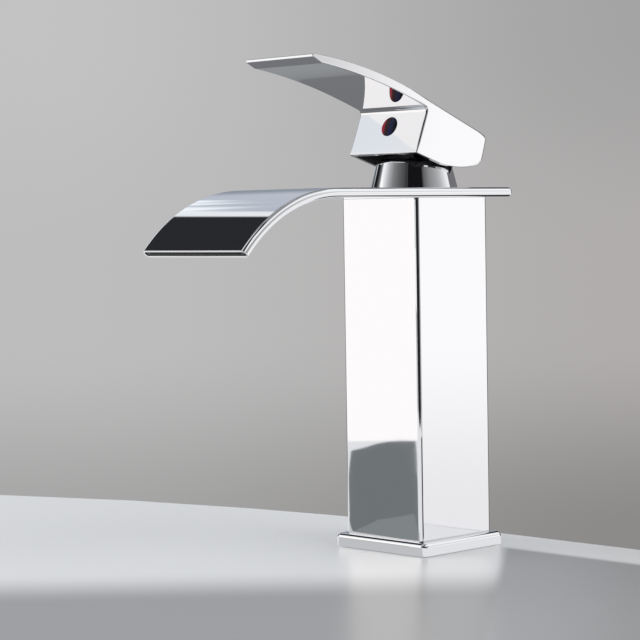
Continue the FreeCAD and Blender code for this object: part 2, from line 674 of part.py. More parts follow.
# ---------------------------------------------------------------- all pieces
CLAMP_SEAL_LOW = -DECK_GAP - CLAMP_SEAL_THICK
PIECES = {
    "base_flange": base_flange(),
    "base_seal": base_seal(),
    "body_column": body_column(),
    "base_block": base_block(),
    "hot_tube": supply_tube(-1),
    "cold_tube": supply_tube(1),
    "valve_chamber": valve_chamber(),
    "port_seals": port_seals(),
    "cartridge_base": cartridge_base(),
    "fixed_disc": fixed_disc(),
    "moving_disc": moving_disc(),
    "disc_carrier": disc_carrier(),
    "cartridge_housing": cartridge_housing(),
    "cartridge_nut": cartridge_nut(),
    "spindle": spindle(),
    "pivot_pin": pivot_pin(),
    "lever_stem": lever_stem(),
    "spout": spout(),
    "outlet_insert": outlet_insert(),
    "dome_cap": dome_cap(),
    "lever_handle": lever_handle(),
    "set_screw": set_screw(),
    "index_hot": index_half(-1),
    "index_cold": index_half(1),
    "fixing_stud": fixing_stud(),
    "clamp_seal": horseshoe(CLAMP_SEAL_LOW, -DECK_GAP),
    "clamp_washer": horseshoe(CLAMP_SEAL_LOW - CLAMP_WASHER_THICK, CLAMP_SEAL_LOW),
    "fixing_nut": fixing_nut(),
}

for piece_name, piece_shape in PIECES.items():
    save(piece_name, piece_shape)
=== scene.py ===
import json
import math

import bmesh
import bpy
from mathutils import Matrix, Vector


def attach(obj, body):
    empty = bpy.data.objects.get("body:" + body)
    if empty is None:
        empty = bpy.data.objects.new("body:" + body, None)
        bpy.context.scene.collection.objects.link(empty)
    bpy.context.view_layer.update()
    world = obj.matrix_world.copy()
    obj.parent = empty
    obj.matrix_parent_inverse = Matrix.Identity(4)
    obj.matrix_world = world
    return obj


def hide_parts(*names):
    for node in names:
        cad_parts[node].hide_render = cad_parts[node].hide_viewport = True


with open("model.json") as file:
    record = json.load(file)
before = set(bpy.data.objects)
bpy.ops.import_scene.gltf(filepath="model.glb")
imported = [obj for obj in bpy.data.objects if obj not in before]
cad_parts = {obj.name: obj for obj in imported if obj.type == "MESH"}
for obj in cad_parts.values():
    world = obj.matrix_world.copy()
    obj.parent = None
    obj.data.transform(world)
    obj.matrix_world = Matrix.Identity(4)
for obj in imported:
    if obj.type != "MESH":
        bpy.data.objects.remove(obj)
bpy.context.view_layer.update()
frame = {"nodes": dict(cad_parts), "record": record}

MM = 0.001
# How far cutting tools reach past what they cut, in millimetres.
OVERRUN = 5.0

# ---------------------------------------------------------------- camera
CAMERA_AZIMUTH = math.radians(45.56)
CAMERA_ELEVATION = math.radians(2.66)
CAMERA_ROLL = math.radians(-0.94)
CAMERA_DISTANCE = 0.9562
CAMERA_FOCAL_PX = 2131.87
IMAGE_PX = 640
SENSOR_MM = 36.0
AIM_POINT = Vector((0, 0, 0.08809))
AIM_PX = (416.33, 350.10)


def make_camera():
    """Camera solved from the photo's straight edges: it looks at the front right corner."""
    sin_a, cos_a = math.sin(CAMERA_AZIMUTH), math.cos(CAMERA_AZIMUTH)
    sin_e, cos_e = math.sin(CAMERA_ELEVATION), math.cos(CAMERA_ELEVATION)
    back = Vector((sin_a * cos_e, -cos_a * cos_e, sin_e))
    level_right = Vector((cos_a, sin_a, 0))
    level_up = back.cross(level_right)
    right = math.cos(CAMERA_ROLL) * level_right + math.sin(CAMERA_ROLL) * level_up
    up = -math.sin(CAMERA_ROLL) * level_right + math.cos(CAMERA_ROLL) * level_up
    shift_right = (AIM_PX[0] - IMAGE_PX / 2) / CAMERA_FOCAL_PX * CAMERA_DISTANCE
    shift_up = (IMAGE_PX / 2 - AIM_PX[1]) / CAMERA_FOCAL_PX * CAMERA_DISTANCE
    place = AIM_POINT + CAMERA_DISTANCE * back - shift_right * right - shift_up * up
    data = bpy.data.cameras.new("camera")
    data.sensor_width = SENSOR_MM
    data.lens = CAMERA_FOCAL_PX / IMAGE_PX * SENSOR_MM
    camera = bpy.data.objects.new("camera", data)
    bpy.context.scene.collection.objects.link(camera)
    turn = Matrix((right, up, back)).transposed()
    camera.matrix_world = Matrix.Translation(place) @ turn.to_4x4()
    bpy.context.scene.camera = camera


def link_object(name, mesh):
    """Puts a new mesh in the scene."""
    made = bpy.data.objects.new(name, mesh)
    bpy.context.scene.collection.objects.link(made)
    return made


# ---------------------------------------------------------------- node helpers
def math_node(tree, operation, first, second=None, third=None):
    """Adds a Math node; inputs are numbers or sockets."""
    node = tree.nodes.new("ShaderNodeMath")
    node.operation = operation
    for place, value in enumerate((first, second, third)):
        if value is None:
            continue
        if isinstance(value, (int, float)):
            node.inputs[place].default_value = value
        else:
            tree.links.new(value, node.inputs[place])
    return node.outputs[0]


def smooth_step(tree, value, low, high):
    """Goes smoothly from 0 at low to 1 at high."""
    node = tree.nodes.new("ShaderNodeMapRange")
    node.interpolation_type = "SMOOTHSTEP"
    tree.links.new(value, node.inputs["Value"])
    node.inputs["From Min"].default_value = low
    node.inputs["From Max"].default_value = high
    return node.outputs["Result"]


def mix_colour(tree, amount, first, second):
    """Mixes two colours by a socket."""
    node = tree.nodes.new("ShaderNodeMix")
    node.data_type = "RGBA"
    tree.links.new(amount, node.inputs[0])
    for place, value in ((6, first), (7, second)):
        if isinstance(value, tuple):
            node.inputs[place].default_value = (*value, 1.0)
        else:
            tree.links.new(value, node.inputs[place])
    return node.outputs[2]


def coordinate_axes(tree, kind):
    """X, Y and Z of one kind of texture coordinates."""
    coords = tree.nodes.new("ShaderNodeTexCoord")
    axes = tree.nodes.new("ShaderNodeSeparateXYZ")
    tree.links.new(coords.outputs[kind], axes.inputs[0])
    return axes.outputs


def grey(level):
    """Neutral colour."""
    return (level, level, level)


# ---------------------------------------------------------------- studio
ROOM_BASE = grey(0.45)
# What the studio shows to polished metal, by direction: compass middle, half width,
# lowest and highest elevation, softness of the sides and of the ends, colour.
# A colour of None stands for the sweep. Later parts cover earlier ones. Compass 0 is +X, 90 is +Y.
ROOM_PARTS = (
    # ceiling, all round and darker in front
    (0, 181, 66, 90, 1, 6, (0.3, 0.3, 0.31)),
    (-75, 72, 54, 90, 10, 6, (0.02, 0.02, 0.022)),
    # behind and to the left: dark, over a floor with grey, dark and bright parts
    (138, 62, -14, 50, 4, 5, (0.010, 0.010, 0.012)),
    (172, 18, 30, 50, 2, 5, (0.024, 0.025, 0.029)),
    (138, 62, -90, -14, 4, 3, (0.17, 0.175, 0.18)),
    (186, 30, -75, -14, 6, 6, (0.02, 0.02, 0.022)),
    (72, 30, -45, -12, 5, 5, (1.0, 1.0, 1.01)),
    (98, 24, -90, -34, 5, 5, (0.02, 0.02, 0.022)),
    (140, 24, -22, -8, 8, 10, (0.30, 0.31, 0.32)),
    # behind on the left: blue-grey field with bright streaks
    (143, 15, -4, 38, 2, 3, (0.28, 0.315, 0.365)),
    (143, 15, 16, 38, 2, 10, (0.53, 0.57, 0.64)),
    (156.5, 2.2, 26, 41, 2, 3, (0.9, 0.93, 0.96)),
    (150.5, 3.2, 22, 28.8, 3, 1.5, (1.0, 1.05, 1.1)),
    (154, 3.2, 26, 32.6, 3, 1.5, (1.0, 1.05, 1.1)),
    (148, 2.5, 23, 26, 2, 2, (1.1, 1.15, 1.2)),
    # grey band at the foot of that field, and a white strip on its left
    (134, 10, -8, 0.5, 4, 2, (0.5, 0.5, 0.5)),
    (163, 10, 10, 33, 4, 4, (1.05, 1.08, 1.12)),
    # behind
    (95, 29, 3, 17, 3, 3, (0.19, 0.19, 0.2)),
    # front left
    (-119, 53, -12, 5, 4, 4, (0.98, 0.99, 1.0)),
    (-119, 53, 4, 80, 1, 6, None),
    (-160, 12, 35, 52, 3, 3, (0.03, 0.03, 0.034)),
    (-149, 5.5, 30, 44, 3, 2, (0.85, 0.885, 0.925)),
    # right, as far as straight behind
    (22, 45, 6, 36, 1, 3, None),
    (22, 50, 36, 66, 4, 4, (1.0, 1.0, 1.02)),
    (69, 22, 26, 52, 4, 4, (1.05, 1.06, 1.08)),
    (46, 21, -25, 6, 3, 3, (1.14, 1.12, 1.12)),
    (46, 21, -25, -5.5, 3, 5, (0.96, 0.95, 0.965)),
    (38, 8, 2, 8, 4, 1.5, (0.75, 0.74, 0.75)),
    # dark round the camera
    (-44, 22, -8, 40, 2, 5, (0.008, 0.008, 0.009)),
    (-44, 34, -6, 4, 3, 3, (0.02, 0.02, 0.024)),
)
# Curved paper sweep round the front: compass direction and brightness, and its faint tint.
SWEEP = (
    (-180, 0.01), (-167, 0.06), (-158, 0.3), (-154, 1.08), (-147, 1.04), (-138, 0.8), (-126, 0.49),
    (-110, 0.25), (-92, 0.14), (-76, 0.08), (-64, 0.02), (-22, 0.06), (-17, 0.14), (0, 0.3),
    (20, 0.42), (34, 0.55), (46, 0.76), (60, 1.02), (180, 1.02),
)
SWEEP_TINT = (0.97, 0.985, 1.0)
# What matt surfaces see all round.
EVEN_LIGHT = grey(0.8)
# Wall behind the deck at its top, middle and foot, on the left and on the right.
WALL_LEFT = (grey(0.54), grey(0.51), (0.37, 0.367, 0.365))
WALL_RIGHT = (grey(0.368), (0.435, 0.418, 0.415), (0.26, 0.254, 0.248))
# Compass middle of the left wall, and how far from it the right wall takes over.
WALL_LEFT_MIDDLE = 201
WALL_LEFT_ENDS = (75, 58)
# Elevations between which the middle turns into the top and into the foot.
WALL_TOP_RISE = (-1, 5)
WALL_FOOT_RISE = (-3, -8.5)


def direction_angles(tree):
    """Compass direction and elevation of a ray, in degrees."""
    x, y, z = coordinate_axes(tree, "Generated")
    compass = math_node(tree, "DEGREES", math_node(tree, "ARCTAN2", y, x))
    rise = math_node(tree, "DEGREES", math_node(tree, "ARCSINE", z))
    return compass, rise


def compass_off(tree, compass, middle):
    """How far a compass direction lies from a middle, either way."""
    off = math_node(tree, "SUBTRACT", compass, middle)
    return math_node(tree, "ABSOLUTE", math_node(tree, "WRAP", off, 180, -180))


def sweep_colour(tree, compass):
    """Brightness of the paper sweep by compass direction."""
    node = tree.nodes.new("ShaderNodeValToRGB")
    tree.links.new(math_node(tree, "MULTIPLY_ADD", compass, 1 / 360, 0.5), node.inputs[0])
    stops = node.color_ramp.elements
    for number, (direction, level) in enumerate(SWEEP):
        place = (direction + 180) / 360
        stop = stops[number] if number < 2 else stops.new(place)
        stop.position = place
        stop.color = (*(part * level for part in SWEEP_TINT), 1)
    return node.outputs[0]


def room_colour(tree, compass, rise):
    """The studio that polished metal mirrors."""
    colour = ROOM_BASE
    sweep = sweep_colour(tree, compass)
    for middle, half, low, high, side_soft, end_soft, tint in ROOM_PARTS:
        off = compass_off(tree, compass, middle)
        inside = smooth_step(tree, off, half + side_soft / 2, half - side_soft / 2)
        above = smooth_step(tree, rise, low - end_soft / 2, low + end_soft / 2)
        below = smooth_step(tree, rise, high + end_soft / 2, high - end_soft / 2)
        inside = math_node(tree, "MULTIPLY", inside, math_node(tree, "MULTIPLY", above, below))
        colour = mix_colour(tree, inside, colour, sweep if tint is None else tint)
    return colour


def make_world():
    """Plain light for the object, a grey wall for the camera and a studio for polished metal."""
    world = bpy.data.worlds.new("studio")
    bpy.context.scene.world = world
    world.use_nodes = True
    tree = world.node_tree
    tree.nodes.clear()
    compass, rise = direction_angles(tree)
    sides = []
    for top, middle, foot in (WALL_RIGHT, WALL_LEFT):
        side = mix_colour(tree, smooth_step(tree, rise, *WALL_TOP_RISE), middle, top)
        sides.append(mix_colour(tree, smooth_step(tree, rise, *WALL_FOOT_RISE), side, foot))
    leftness = smooth_step(tree, compass_off(tree, compass, WALL_LEFT_MIDDLE), *WALL_LEFT_ENDS)
    wall_colour = mix_colour(tree, leftness, *sides)
    path = tree.nodes.new("ShaderNodeLightPath")
    shades = []
    for colour in (room_colour(tree, compass, rise), EVEN_LIGHT, wall_colour):
        shade = tree.nodes.new("ShaderNodeBackground")
        if isinstance(colour, tuple):
            shade.inputs["Color"].default_value = (*colour, 1)
        else:
            tree.links.new(colour, shade.inputs["Color"])
        shades.append(shade.outputs[0])
    seen_by_metal = tree.nodes.new("ShaderNodeMixShader")
    tree.links.new(path.outputs["Is Glossy Ray"], seen_by_metal.inputs[0])
    tree.links.new(shades[1], seen_by_metal.inputs[1])
    tree.links.new(shades[0], seen_by_metal.inputs[2])
    seen_by_camera = tree.nodes.new("ShaderNodeMixShader")
    tree.links.new(path.outputs["Is Camera Ray"], seen_by_camera.inputs[0])
    tree.links.new(seen_by_metal.outputs[0], seen_by_camera.inputs[1])
    tree.links.new(shades[2], seen_by_camera.inputs[2])
    out = tree.nodes.new("ShaderNodeOutputWorld")
    tree.links.new(seen_by_camera.outputs[0], out.inputs[0])


# Rear edge of the deck, from left to right, in millimetres.
DECK_REAR = (
    (-2500, -2400), (-900, -700), (-560, -300), (-430, -110), (-360, -50), (-299, -13),
    (-225, 17), (-152, 36), (-100, 45), (-50, 49.5), (4, 51.5), (90, 52), (400, 52), (2500, 52),
)
DECK_FRONT = -2500
DECK_ROUGHNESS = 0.3
DECK_PALE = (0.77, 0.775, 0.785)
# Painted shade: grey towards the camera, and the values of X minus Y, in metres, where it comes and
# goes.
PAINTED_FRONT_SHADE = (0.31, 0.31, 0.312)
PAINTED_FRONT_SHADE_COMES = (0.09, 0.19)
PAINTED_FRONT_SHADE_GOES = (0.55, 0.36)
# Painted reflection of the wall: grey on the right, in metres: it comes by X and a share of Y, so its
# left border leans, it ends at the rear by Y and goes by X. A pale strip stays behind it.
PAINTED_WALL_REFLECTION = (0.36, 0.36, 0.365)
PAINTED_WALL_REFLECTION_LEAN = 0.8
PAINTED_WALL_REFLECTION_COMES = (0.046, 0.053)
PAINTED_WALL_REFLECTION_REAR = (0.024, 0.016)
PAINTED_WALL_REFLECTION_GOES = (0.45, 0.28)


def make_deck():
    """Pale deck under the faucet, with the rear edge that the photo shows."""
    corners = [Vector((x, y, 0)) * MM for x, y in DECK_REAR]
    corners.append(Vector((DECK_REAR[-1][0], DECK_FRONT, 0)) * MM)
    corners.append(Vector((DECK_REAR[0][0], DECK_FRONT, 0)) * MM)
    mesh = bpy.data.meshes.new("deck")
    mesh.from_pydata(corners, [], [tuple(range(len(corners)))])
    deck = link_object("deck", mesh)
    material, tree, shader = new_material("deck", DECK_PALE, 0.0, DECK_ROUGHNESS)
    x, y, _ = coordinate_axes(tree, "Object")
    # Painted shade: the deck turns grey towards the camera.
    outward = math_node(tree, "SUBTRACT", x, y)
    comes = smooth_step(tree, outward, *PAINTED_FRONT_SHADE_COMES)
    painted_front_shade_mask = math_node(tree, "MULTIPLY", comes, smooth_step(tree, outward, *PAINTED_FRONT_SHADE_GOES))
    tone = mix_colour(tree, painted_front_shade_mask, DECK_PALE, PAINTED_FRONT_SHADE)
    # Painted reflection of the wall: the deck turns grey on the right.
    comes = smooth_step(tree, math_node(tree, "MULTIPLY_ADD", y, PAINTED_WALL_REFLECTION_LEAN, x), *PAINTED_WALL_REFLECTION_COMES)
    painted_wall_reflection_mask = math_node(tree, "MULTIPLY", comes, smooth_step(tree, y, *PAINTED_WALL_REFLECTION_REAR))
    painted_wall_reflection_mask = math_node(tree, "MULTIPLY", painted_wall_reflection_mask, smooth_step(tree, x, *PAINTED_WALL_REFLECTION_GOES))
    tone = mix_colour(tree, painted_wall_reflection_mask, tone, PAINTED_WALL_REFLECTION)
    tree.links.new(tone, shader.inputs["Base Color"])
    deck.data.materials.append(material)


def mirror_card(name, corners, colour):
    """Studio card that only polished metal sees, and only from its front."""
    mesh = bpy.data.meshes.new(name)
    mesh.from_pydata([Vector(corner) * MM for corner in corners], [], [tuple(range(len(corners)))])
    card = link_object(name, mesh)
    material = bpy.data.materials.new(name)
    material.use_nodes = True
    tree = material.node_tree
    tree.nodes.clear()
    glow = tree.nodes.new("ShaderNodeEmission")
    glow.inputs["Color"].default_value = (*colour, 1)
    clear = tree.nodes.new("ShaderNodeBsdfTransparent")
    side = tree.nodes.new("ShaderNodeNewGeometry")
    either = tree.nodes.new("ShaderNodeMixShader")
    tree.links.new(side.outputs["Backfacing"], either.inputs[0])
    tree.links.new(glow.outputs[0], either.inputs[1])
    tree.links.new(clear.outputs[0], either.inputs[2])
    out = tree.nodes.new("ShaderNodeOutputMaterial")
    tree.links.new(either.outputs[0], out.inputs[0])
    card.data.materials.append(material)
    card.visible_camera = False
    card.visible_diffuse = False
    card.visible_shadow = False
    card.visible_transmission = False


def standing_card(name, start, end, height, colour):
    """Upright card on the deck whose front is on the left of the way from start to end."""
    (ax, ay), (bx, by) = start, end
    mirror_card(name, [(ax, ay, 0), (ax, ay, height), (bx, by, height), (bx, by, 0)], colour)


def lying_card(name, outline, height, colour):
    """Card that lies over the deck, face up; its outline runs anticlockwise."""
    mirror_card(name, [(x, y, height) for x, y in outline], colour)


# Standing cards: both ends of the foot and height in millimetres, and colour.
STANDING_CARDS = {
    "white_card": ((-449, -237), (-237, -449), 330, (1.17, 1.14, 1.12)),
    "dark_flag": ((134, -735), (742, -85), 170, (0.02, 0.02, 0.024)),
}
# Outlines of the lying cards, in millimetres.
DECK_GLOW = ((-700, -700), (560, -700), (560, 51), (-80, 47), (-260, -20))
DARK_CORNER = ((60, -30), (520, -160), (520, 120), (75, 5))
# Dark card beside the plate, just over its height: a painted dark reflection on the lever's brow.
PAINTED_BROW_REFLECTION = ((-110, -80), (-33, -80), (-33, 25), (-110, 25))
FLANGE_SHADE = ((-105, -88), (27, -88), (27, -26.5), (-28, -26.5))
# Painted shade of the bowl, in a far and a near card.
PAINTED_BOWL_SHADE = (
    (-4, -51), (-17, -51), (-45, -53), (-50, -54), (-60, -63), (-77, -79), (-128, -130), (-199, -201),
    (-238, -241), (-296, -301), (-303, -321), (-312, -341), (-315, -355), (-312, -365), (-302, -369),
    (-248, -312), (-132, -188),
)
PAINTED_NEAR_BOWL_SHADE = (
    (-4, -51), (-17, -51), (-45, -53), (-50, -56), (-55, -67), (-66, -88), (-65, -99), (-66, -114),
)
# Lying cards: outline, height in millimetres and colour. Metal mirrors them and nothing else sees
# them,
# so their colours are painted reflections: deck_glow stands for the pale deck, flange_shade is
# painted shade of the deck round the flange, the two bowl cards are painted shade of the bowl, and
# the dark card beside the plate puts a painted dark reflection on the lever's brow. The column's
# front mirrors the bowl cards and its upright corner dark_corner, the brow of the lever mirrors the
# card beside the plate, and the flange's front mirrors flange_shade.
LYING_CARDS = {
    "deck_glow": (DECK_GLOW, 0.4, (0.88, 0.885, 0.9)),
    "dark_corner": (DARK_CORNER, 0.6, (0.04, 0.042, 0.046)),
    "painted_brow_reflection": (PAINTED_BROW_REFLECTION, 161, (0.19, 0.195, 0.205)),
    "flange_shade": (FLANGE_SHADE, 0.48, (0.6, 0.61, 0.62)),
    "painted_bowl_shade": (PAINTED_BOWL_SHADE, 0.9, (0.185, 0.2, 0.208)),
    "painted_near_bowl_shade": (PAINTED_NEAR_BOWL_SHADE, 1.1, (0.25, 0.275, 0.275)),
}


def make_cards():
    """Every studio card that polished metal mirrors."""
    for name, values in STANDING_CARDS.items():
        standing_card(name, *values)
    for name, values in LYING_CARDS.items():
        lying_card(name, *values)


# Soft square lamps: place and side in metres, and power in watts.
LAMPS = {
    "key": ((-0.9, -0.9, 1.3), 1.2, 9),
    "fill": ((1.1, 0.2, 1.0), 1.0, 5),
}
LAMP_AIM = Vector((0, 0, 0.08))


def make_lamps():
    """Soft square lamps that the metal doesn't mirror."""
    for name, (place, side, power) in LAMPS.items():
        data = bpy.data.lights.new(name, "AREA")
        data.shape = "SQUARE"
        data.size = side
        data.energy = power
        lamp = bpy.data.objects.new(name, data)
        bpy.context.scene.collection.objects.link(lamp)
        lamp.location = place
        lamp.rotation_mode = "QUATERNION"
        lamp.rotation_quaternion = (Vector(place) - LAMP_AIM).to_track_quat("Z", "Y")
        lamp.visible_glossy = False


# ---------------------------------------------------------------- materials
def new_material(name, colour, metallic, roughness):
    """Material with its plain values on the shader's own sockets."""
    material = bpy.data.materials.new(name)
    material.use_nodes = True
    shader = material.node_tree.nodes["Principled BSDF"]
    shader.inputs["Base Color"].default_value = (*colour, 1)
    shader.inputs["Metallic"].default_value = metallic
    shader.inputs["Roughness"].default_value = roughness
    return material, material.node_tree, shader


def noise(tree, scale, detail):
    """Noise in the object's own coordinates."""
    coords = tree.nodes.new("ShaderNodeTexCoord")
    node = tree.nodes.new("ShaderNodeTexNoise")
    tree.links.new(coords.outputs["Object"], node.inputs["Vector"])
    node.inputs["Scale"].default_value = scale
    node.inputs["Detail"].default_value = detail
    return node.outputs["Fac"]


def bump(tree, shader, height, distance):
    """Small surface relief."""
    node = tree.nodes.new("ShaderNodeBump")
    node.inputs["Strength"].default_value = 1.0
    node.inputs["Distance"].default_value = distance
    tree.links.new(height, node.inputs["Height"])
    tree.links.new(node.outputs[0], shader.inputs["Normal"])


CHROME_COLOUR = (0.84, 0.845, 0.86)
CHROME_ROUGHNESS = 0.03
# Faint haze of the chrome: noise scale and detail, the noise values between which it grows, its
# lowest roughness and what it adds to that.
HAZE_SCALE = 55.0
HAZE_DETAIL = 4.0
HAZE_NOISE = (0.35, 0.75)
HAZE_LOWEST = 0.025
HAZE_GROWTH = 0.02


def chrome():
    """Mirror chrome with a faint haze that varies over the surface."""
    material, tree, shader = new_material("chrome", CHROME_COLOUR, 1.0, CHROME_ROUGHNESS)
    haze = smooth_step(tree, noise(tree, HAZE_SCALE, HAZE_DETAIL), *HAZE_NOISE)
    roughness = math_node(tree, "MULTIPLY_ADD", haze, HAZE_GROWTH, HAZE_LOWEST)
    tree.links.new(roughness, shader.inputs["Roughness"])
    return material


PATTERN_DETAIL = 3.0


def add_pattern(tree, shader, low, high, scale, relief):
    """Lets the roughness vary between two values, with a fine relief to match."""
    pattern = noise(tree, scale, PATTERN_DETAIL)
    roughness = math_node(tree, "MULTIPLY_ADD", pattern, high - low, low)
    tree.links.new(roughness, shader.inputs["Roughness"])
    bump(tree, shader, pattern, relief)


def plain_material(name, colour, metallic, low, high, scale, relief):
    """Material of one colour with a patterned roughness."""
    material, tree, shader = new_material(name, colour, metallic, low)
    add_pattern(tree, shader, low, high, scale, relief)
    return material


ENAMEL_ROUGHNESS = 0.15
ENAMEL_SPECULAR = 0.12
# Lowest and highest roughness, noise scale and depth of the relief in metres.
ENAMEL_PATTERN = (0.12, 0.22, 900.0, 0.000004)


def index_enamel(name, colour, deep, start, end):
    """Dark enamel of the index plug, whose colour deepens from one place across it to another."""
    material, tree, shader = new_material(name, colour, 0.0, ENAMEL_ROUGHNESS)
    shader.inputs["Specular IOR Level"].default_value = ENAMEL_SPECULAR
    across = coordinate_axes(tree, "Object")[0]
    tone = mix_colour(tree, smooth_step(tree, across, start, end), colour, deep)
    tree.links.new(tone, shader.inputs["Base Color"])
    add_pattern(tree, shader, *ENAMEL_PATTERN)
    return material


# Colour, metallic, lowest and highest roughness, noise scale and depth of the relief in metres.
PLAIN_MATERIALS = {
    "brass": ((0.71, 0.56, 0.28), 1.0, 0.22, 0.38, 900.0, 0.00002),
    "copper_tube": ((0.72, 0.42, 0.27), 1.0, 0.18, 0.34, 400.0, 0.00001),
    "steel": ((0.56, 0.56, 0.57), 1.0, 0.25, 0.4, 1200.0, 0.00002),
    # The next steel is darkened: painted shade for the stem under the lever.
    "steel_with_painted_shade": ((0.045, 0.045, 0.048), 1.0, 0.3, 0.45, 1200.0, 0.00002),
    "rubber": ((0.02, 0.02, 0.02), 0.0, 0.6, 0.8, 2500.0, 0.00003),
    "valve_plastic": ((0.045, 0.045, 0.05), 0.0, 0.4, 0.55, 1500.0, 0.00001),
    "ceramic": ((0.85, 0.85, 0.82), 0.0, 0.12, 0.2, 800.0, 0.000005),
    "mouth_strip": ((0.02, 0.02, 0.021), 0.0, 0.25, 0.4, 1500.0, 0.00001),
    "cast_inside": ((0.085, 0.083, 0.092), 0.0, 0.55, 0.7, 700.0, 0.00004),
}
# Colour, deep colour, and the values of X, in metres, between which one turns into the other.
ENAMELS = {
    "index_red": ((0.5, 0.03, 0.06), (0.03, 0.004, 0.01), -0.0036, -0.0017),
    "index_blue": ((0.012, 0.018, 0.075), (0.004, 0.004, 0.008), 0.0012, 0.0038),
}
MATERIALS = {"chrome": chrome()}
MATERIALS.update({name: plain_material(name, *values) for name, values in PLAIN_MATERIALS.items()})
MATERIALS.update({name: index_enamel(name, *values) for name, values in ENAMELS.items()})
# Nodes whose material isn't the one of their slot. The stem showed too bright under the lever, so it
# gets darkened steel: painted shade.
OWN_MATERIALS = {"lever_stem": "steel_with_painted_shade"}


def dress_cad():
    """Gives every CAD node its material."""
    for part in frame["record"]["subparts"]:
        node = frame["nodes"][part["node"]]
        node.data.materials.clear()
        name = OWN_MATERIALS.get(part["node"], part["material_slot"])
        node.data.materials.append(MATERIALS[name])


# ---------------------------------------------------------------- mesh helpers
def arc_through(start, middle, end, count):
    """Points of the circle through three points, from start to end; the last one is left out."""
    (ax, ay), (bx, by), (cx, cy) = start, middle, end
    scale = 2 * (ax * (by - cy) + bx * (cy - ay) + cx * (ay - by))
    a2, b2, c2 = ax * ax + ay * ay, bx * bx + by * by, cx * cx + cy * cy
    ux = (a2 * (by - cy) + b2 * (cy - ay) + c2 * (ay - by)) / scale
    uy = (a2 * (cx - bx) + b2 * (ax - cx) + c2 * (bx - ax)) / scale
    radius = math.hypot(ax - ux, ay - uy)
    first = math.atan2(ay - uy, ax - ux)
    turn = math.remainder(math.atan2(cy - uy, cx - ux) - first, math.tau)
    points = []
    for step in range(count):
        angle = first + turn * step / count
        points.append((ux + radius * math.cos(angle), uy + radius * math.sin(angle)))
    return points


def rounded_corner(before, corner, after, radius, count):
    """Points of an arc that rounds a corner of an outline, ends included."""
    a, b, c = Vector(before), Vector(corner), Vector(after)
    to_a, to_c = (a - b).normalized(), (c - b).normalized()
    half = to_a.angle(to_c) / 2
    reach = radius / math.tan(half)
    centre = b + (to_a + to_c).normalized() * radius / math.sin(half)
    start, end = b + to_a * reach, b + to_c * reach
    first = math.atan2(start.y - centre.y, start.x - centre.x)
    turn = math.remainder(math.atan2(end.y - centre.y, end.x - centre.x) - first, math.tau)
    points = []
    for step in range(count + 1):
        angle = first + turn * step / count
        points.append((centre.x + radius * math.cos(angle), centre.y + radius * math.sin(angle)))
    return points


def mesh_object(name, bm):
    """Turns a finished bmesh into an object, with its faces turned outwards."""
    bmesh.ops.recalc_face_normals(bm, faces=bm.faces)
    mesh = bpy.data.meshes.new(name)
    bm.to_mesh(mesh)
    bm.free()
    return link_object(name, mesh)


def prism(name, outline, low, high, axis="X"):
    """Solid from an outline in millimetres: YZ for axis X and XY for axis Z."""
    bm = bmesh.new()
    ends = []
    for level in (low, high):
        if axis == "X":
            places = [(level, u, v) for u, v in outline]
        else:
            places = [(u, v, level) for u, v in outline]
        ends.append([bm.verts.new(Vector(place) * MM) for place in places])
    count = len(outline)
    bm.faces.new(ends[0])
    bm.faces.new(ends[1])
    for number in range(count):
        after = (number + 1) % count
        bm.faces.new([ends[0][number], ends[0][after], ends[1][after], ends[1][number]])
    return mesh_object(name, bm)


def rings_mesh(name, rings, loop=False):
    """Skin over rings of points in millimetres, closed at both ends or looped round."""
    bm = bmesh.new()
    rows = [[bm.verts.new(Vector(point) * MM) for point in ring] for ring in rings]
    pairs = list(zip(rows, rows[1:]))
    if loop:
        pairs.append((rows[-1], rows[0]))
    count = len(rings[0])
    for row, other in pairs:
        for number in range(count):
            after = (number + 1) % count
            bm.faces.new([row[number], row[after], other[after], other[number]])
    if not loop:
        bm.faces.new(rows[0])
        bm.faces.new(rows[-1])
    return mesh_object(name, bm)


def lathe(name, outline, count):
    """Closed ring-shaped solid turned round the Z axis from a radius and height outline."""
    rings = []
    for step in range(count):
        turn = math.tau * step / count
        rings.append([(r * math.cos(turn), r * math.sin(turn), z) for r, z in outline])
    return rings_mesh(name, rings, loop=True)


def cylinder(name, radius, start, end, count):
    """Closed cylinder between two points in millimetres."""
    start, end = Vector(start), Vector(end)
    axis = (end - start).normalized()
    side = axis.orthogonal().normalized()
    other = axis.cross(side)
    rings = []
    for middle in (start, end):
        ring = []
        for step in range(count):
            turn = math.tau * step / count
            ring.append(middle + radius * (math.cos(turn) * side + math.sin(turn) * other))
        rings.append(ring)
    return rings_mesh(name, rings)


def box(name, low, high):
    """Closed box between two corners in millimetres."""
    outline = [(low[0], low[1]), (high[0], low[1]), (high[0], high[1]), (low[0], high[1])]
    return prism(name, outline, low[2], high[2], axis="Z")


BEVEL_ANGLE = math.radians(60)


def add_bevel(obj, width, segments):
    """Rounds the sharp edges; width in millimetres."""
    bevel = obj.modifiers.new("round", "BEVEL")
    bevel.width = width * MM
    bevel.segments = segments
    bevel.limit_method = "ANGLE"
    bevel.angle_limit = BEVEL_ANGLE
    bevel.use_clamp_overlap = True


def combine(obj, other, operation):
    """Cuts another solid away or joins it."""
    step = obj.modifiers.new("combine", "BOOLEAN")
    step.operation = operation
    step.object = other
    step.solver = "EXACT"


def settle(obj, *tools):
    """Applies the modifiers and removes the tool solids."""
    graph = bpy.context.evaluated_depsgraph_get()
    mesh = bpy.data.meshes.new_from_object(obj.evaluated_get(graph))
    obj.modifiers.clear()
    old = obj.data
    obj.data = mesh
    bpy.data.meshes.remove(old)
    for tool in tools:
        tool_mesh = tool.data
        bpy.data.objects.remove(tool)
        bpy.data.meshes.remove(tool_mesh)


